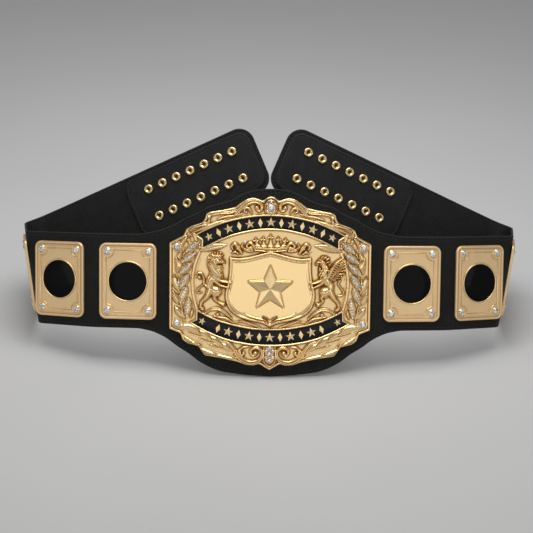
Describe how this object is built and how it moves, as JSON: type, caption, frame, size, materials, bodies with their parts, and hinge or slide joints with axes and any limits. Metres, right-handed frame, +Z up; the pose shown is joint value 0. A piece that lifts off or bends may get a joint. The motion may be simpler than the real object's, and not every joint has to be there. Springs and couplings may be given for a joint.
{
  "type": "championship title belt",
  "caption": "Black leather title belt with a large gilt relief plate, black banners, gilt side plates with black discs and clear stones, and brass snaps on its tails.",
  "frame": {"origin": "on the surface the belt stands on, under the middle of its bounding box", "axes": "+X to the viewer's right along the front, +Y from the main plate towards the tails, +Z up"},
  "size_m": [0.671, 0.26, 0.231],
  "materials": {
    "strap_leather": "grained, satin",
    "patch_leather": "grained, satin",
    "snap_brass": "polished",
    "plate_gilt": "gilt, polished on the high places and darker in the recesses",
    "black_enamel": "satin enamel",
    "disc_black": "high gloss",
    "clear_stone": "cut and polished"
  },
  "bodies": {
    "root": {"strap": "strap_leather", "snap_patch_left": "patch_leather", "snap_patch_right": "patch_leather", "snap_left_upper_1": "snap_brass", "snap_left_upper_2": "snap_brass", "snap_left_upper_3": "snap_brass", "snap_left_upper_4": "snap_brass", "snap_left_upper_5": "snap_brass", "snap_left_upper_6": "snap_brass", "snap_left_upper_7": "snap_brass", "snap_left_lower_1": "snap_brass", "snap_left_lower_2": "snap_brass", "snap_left_lower_3": "snap_brass", "snap_left_lower_4": "snap_brass", "snap_left_lower_5": "snap_brass", "snap_left_lower_6": "snap_brass", "snap_left_lower_7": "snap_brass", "snap_right_upper_1": "snap_brass", "snap_right_upper_2": "snap_brass", "snap_right_upper_3": "snap_brass", "snap_right_upper_4": "snap_brass", "snap_right_upper_5": "snap_brass", "snap_right_upper_6": "snap_brass", "snap_right_upper_7": "snap_brass", "snap_right_lower_1": "snap_brass", "snap_right_lower_2": "snap_brass", "snap_right_lower_3": "snap_brass", "snap_right_lower_4": "snap_brass", "snap_right_lower_5": "snap_brass", "snap_right_lower_6": "snap_brass", "snap_right_lower_7": "snap_brass", "main_plate": "plate_gilt", "banner_fill_top": "black_enamel", "banner_fill_bottom": "black_enamel", "corner_stone_upper_left": "clear_stone", "corner_stone_upper_right": "clear_stone", "corner_stone_lower_left": "clear_stone", "corner_stone_lower_right": "clear_stone", "side_plate_left_1": "plate_gilt", "side_plate_left_2": "plate_gilt", "side_plate_left_3": "plate_gilt", "side_plate_right_1": "plate_gilt", "side_plate_right_2": "plate_gilt", "side_plate_right_3": "plate_gilt", "side_disc_left_1": "disc_black", "side_disc_left_2": "disc_black", "side_disc_left_3": "disc_black", "side_disc_right_1": "disc_black", "side_disc_right_2": "disc_black", "side_disc_right_3": "disc_black"}
  },
  "joints": []
}
